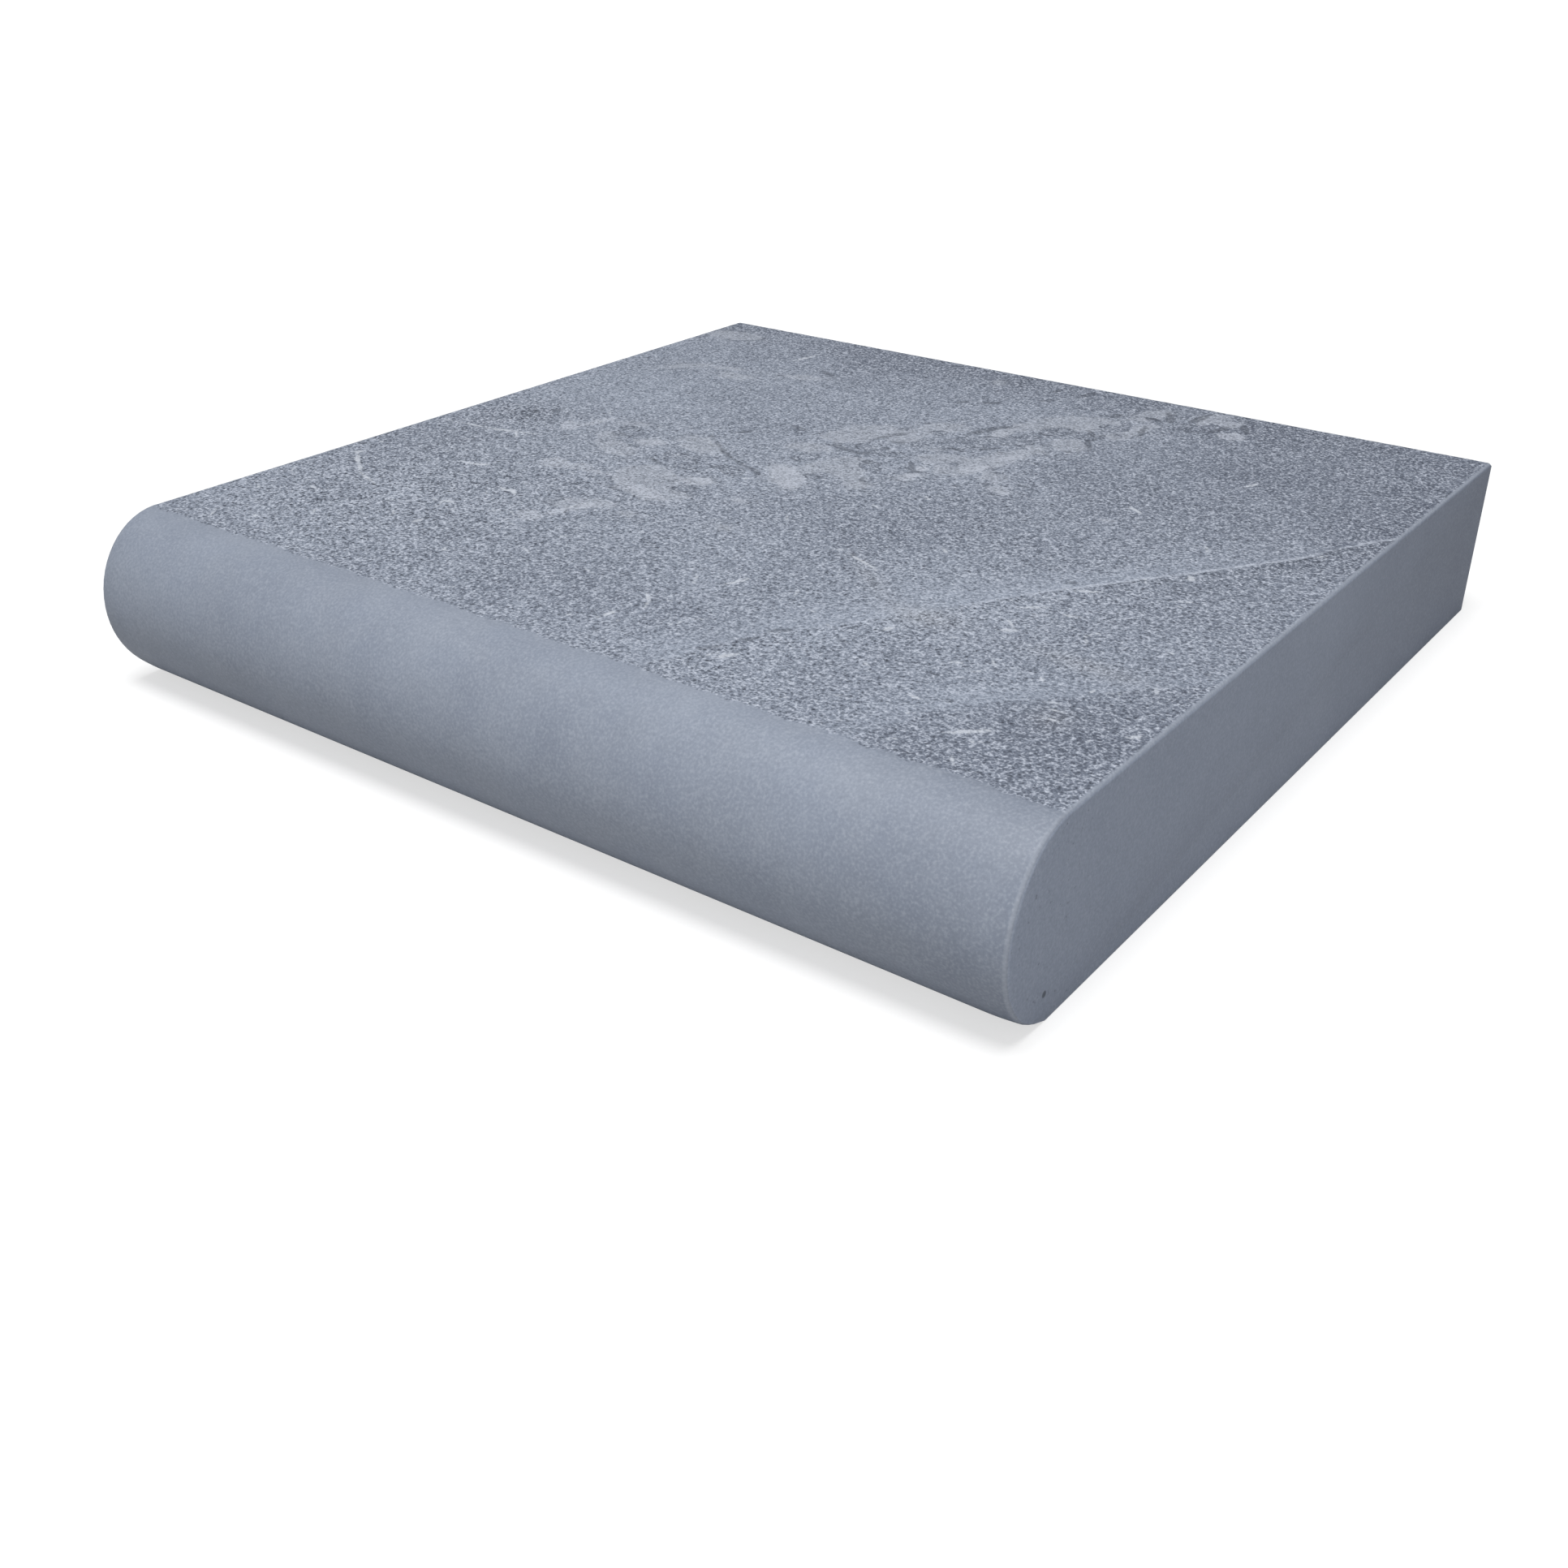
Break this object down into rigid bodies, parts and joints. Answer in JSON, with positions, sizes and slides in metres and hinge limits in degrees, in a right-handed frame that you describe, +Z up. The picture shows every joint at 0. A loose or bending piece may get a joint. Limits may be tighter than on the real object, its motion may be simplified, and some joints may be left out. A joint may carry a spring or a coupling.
{
  "type": "marble bullnose coping",
  "caption": "Square slab of grey-blue marble with one edge rounded to a full bullnose, laid as the edging of a pool, wall or step.",
  "frame": {"origin": "middle of the slab's footprint, on the bed face that it lies on", "axes": "+Z up from the bed to the walking face, +X along the nose, +Y from the nose towards the back edge"},
  "size_m": [0.3048, 0.3048, 0.0508],
  "materials": {
    "marble": "grey-blue marble, fine leathered grain on the walking face, honed nose and ends"
  },
  "bodies": {
    "root": {"bullnose_coping": "marble"}
  },
  "joints": []
}
